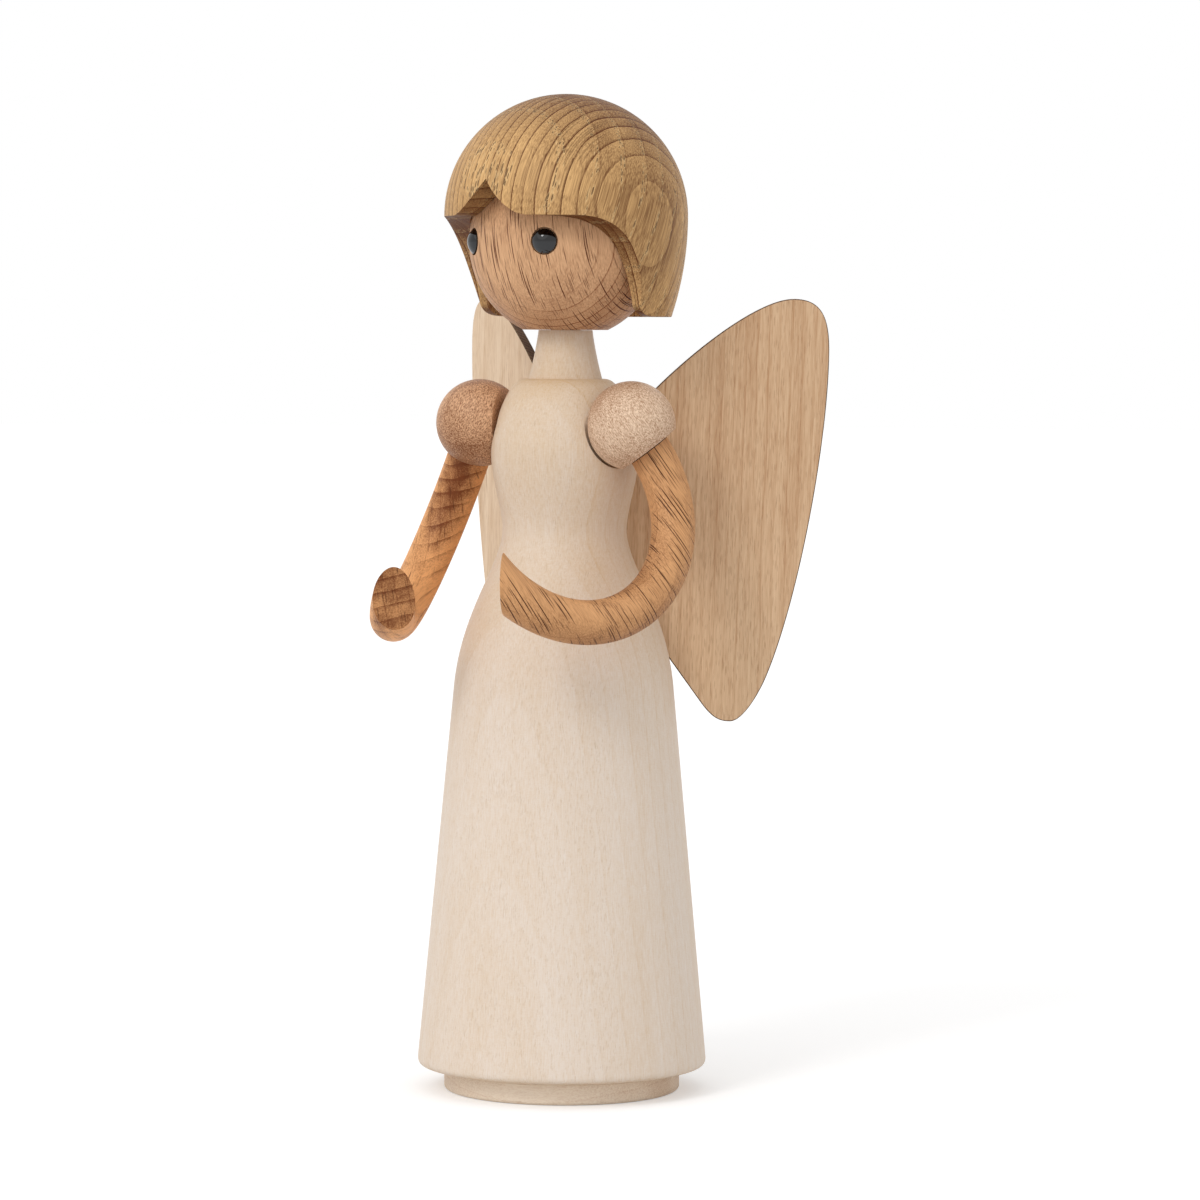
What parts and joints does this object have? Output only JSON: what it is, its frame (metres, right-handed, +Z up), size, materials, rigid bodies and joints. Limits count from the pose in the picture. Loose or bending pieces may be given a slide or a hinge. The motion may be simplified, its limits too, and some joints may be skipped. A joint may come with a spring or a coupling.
{
  "type": "wooden angel figurine",
  "caption": "Turned wooden angel figurine: a bell-shaped dress on a foot disc, a ball head that turns under a carved hair cap, bent arms that swing from sleeve balls, and flat wings.",
  "frame": {"origin": "centre of the foot disc's underside, on the turned axis of the dress", "axes": "+Z up along the turned axis, -Y towards the figure's front, +X towards the figure's left"},
  "size_m": [0.0854, 0.0809, 0.2],
  "materials": {
    "dress_maple": "oiled satin",
    "foot_maple": "oiled satin",
    "head_beech": "oiled satin",
    "hair_oak": "oiled satin",
    "eye_black": "gloss",
    "sleeve_pale": "oiled satin",
    "sleeve_dark": "oiled satin",
    "arm_beech": "oiled satin",
    "dowel_wood": "plain",
    "wing_birch": "oiled satin"
  },
  "bodies": {
    "body": {"foot_disc": "foot_maple", "dress_body": "dress_maple", "wing_left": "wing_birch", "wing_right": "wing_birch"},
    "head": {"head_dowel": "dowel_wood", "head_ball": "head_beech", "hair_cap": "hair_oak", "eye_left": "eye_black", "eye_right": "eye_black"},
    "left_arm": {"shoulder_pin_left": "dowel_wood", "sleeve_left": "sleeve_pale", "arm_left": "arm_beech"},
    "right_arm": {"shoulder_pin_right": "dowel_wood", "sleeve_right": "sleeve_dark", "arm_right": "arm_beech"}
  },
  "joints": [
    {"name": "head_turn", "type": "hinge", "parent": "body", "child": "head", "pos_m": [0, 0, 0.15295], "axis": [0, 0, 1], "continuous": true},
    {"name": "left_shoulder", "type": "hinge", "parent": "body", "child": "left_arm", "pos_m": [0.01777, -0.00391, 0.1341], "axis": [-0.9767, 0.2147, 0], "range_deg": [-28, 98]},
    {"name": "right_shoulder", "type": "hinge", "parent": "body", "child": "right_arm", "pos_m": [-0.01777, -0.00391, 0.1341], "axis": [-0.9767, -0.2147, 0], "range_deg": [-25, 102]}
  ]
}
